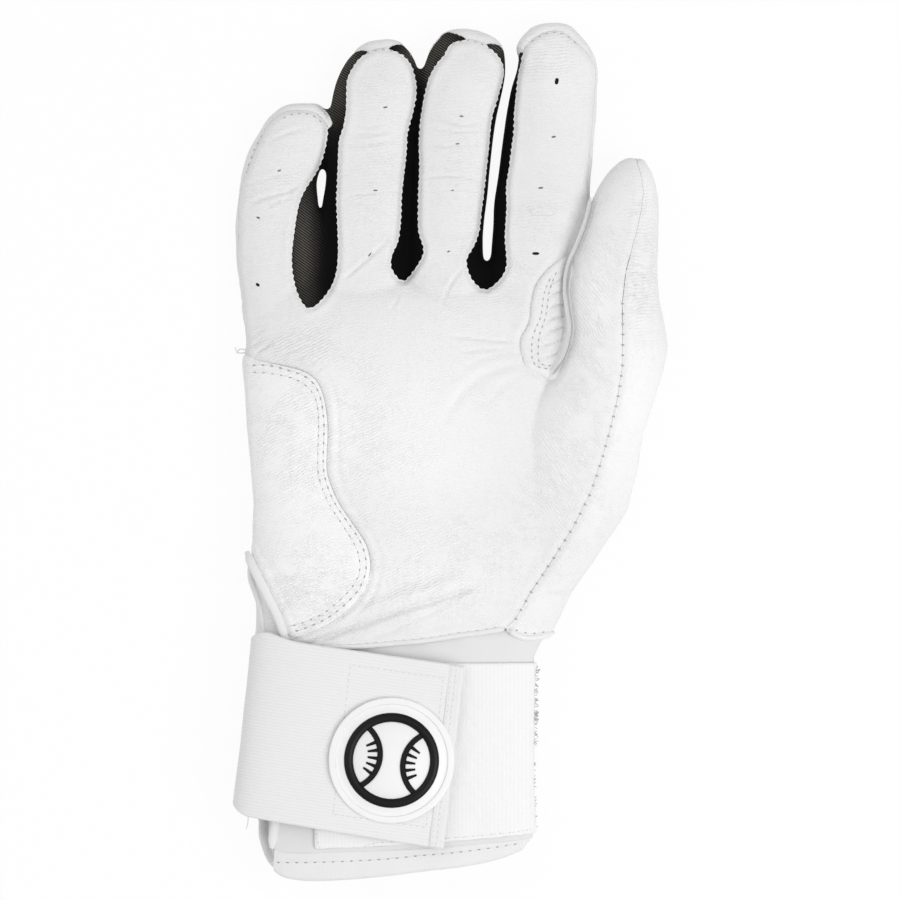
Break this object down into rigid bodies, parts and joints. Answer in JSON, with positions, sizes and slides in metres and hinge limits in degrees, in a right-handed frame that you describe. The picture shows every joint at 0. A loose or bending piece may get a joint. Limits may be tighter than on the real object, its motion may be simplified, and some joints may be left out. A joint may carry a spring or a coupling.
{
  "type": "batting glove",
  "caption": "Right-hand long-cuff batting glove in white leather with black knit sidewalls, a heel patch and a wide elastic wrist strap that peels open",
  "frame": {"origin": "middle of the footprint, on the surface that the glove lies on, on its back", "axes": "+X towards the thumb, +Y towards the fingertips, +Z out of the palm"},
  "size_m": [0.1324, 0.2616, 0.0267],
  "materials": {
    "white_leather": "soft sheepskin, fine grain, satin",
    "black_knit": "ribbed stretch knit, matt",
    "white_knit": "stretch knit, matt",
    "cuff_fabric": "fabric-faced foam, matt",
    "folded_tape": "folded stretch tape, matt",
    "loop_tape": "brushed loop pile in fine ribs",
    "strap_elastic": "woven elastic, fine lengthwise ribs",
    "hook_tape": "moulded hooks",
    "white_rubber": "moulded, satin",
    "black_rubber": "moulded, satin"
  },
  "bodies": {
    "glove": {"palm_panel": "white_leather", "back_panel": "white_leather", "thumb_side_panel": "white_leather", "sidewall_little_ring": "black_knit", "sidewall_ring_middle": "black_knit", "sidewall_middle_index": "black_knit", "thumb_fork_patch": "white_leather", "heel_patch": "white_leather", "knuckle_stretch_panel": "white_knit", "cuff_palm_panel": "cuff_fabric", "cuff_back_panel": "cuff_fabric", "cuff_gusset": "white_knit", "opening_binding": "folded_tape", "cuff_hem": "folded_tape", "loop_panel": "loop_tape", "strap_anchor": "strap_elastic"},
    "strap": {"strap_flap": "strap_elastic", "strap_end_tape": "strap_elastic", "hook_patch": "hook_tape", "badge_plate": "white_rubber", "badge_ring": "black_rubber", "badge_seam_left": "black_rubber", "badge_seam_right": "black_rubber"}
  },
  "joints": [
    {"name": "strap_peel", "type": "hinge", "parent": "glove", "child": "strap", "pos_m": [-0.06294, -0.08402, 0.01215], "axis": [-0.1392, -0.9903, 0], "range_deg": [0, 150]}
  ]
}
